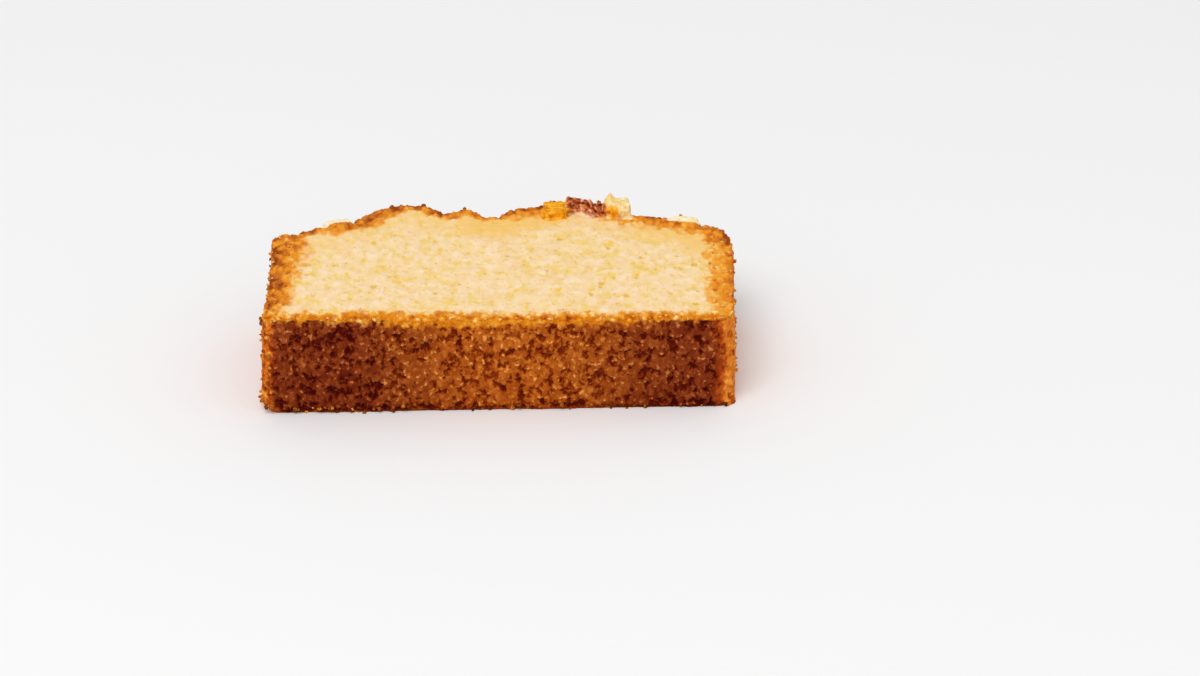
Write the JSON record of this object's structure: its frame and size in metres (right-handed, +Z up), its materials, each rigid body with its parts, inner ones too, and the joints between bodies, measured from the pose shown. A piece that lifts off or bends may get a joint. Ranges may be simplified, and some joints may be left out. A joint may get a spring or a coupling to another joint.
{
  "type": "slice of pound cake",
  "caption": "Thick slice cut across a loaf of pound cake, lying on a cut face, with a pale fine crumb, a flat browned base, browned sides and a risen crown with a split.",
  "frame": {"origin": "centre of the slice's bounding box in X and Y, on the cut face that it rests on", "axes": "+X across the loaf, +Y from the flat base to the risen crown, +Z up through the slice"},
  "size_m": [0.114, 0.0682, 0.0271],
  "materials": {
    "cake": null
  },
  "bodies": {
    "root": {"cake_slice": "cake"}
  },
  "joints": []
}
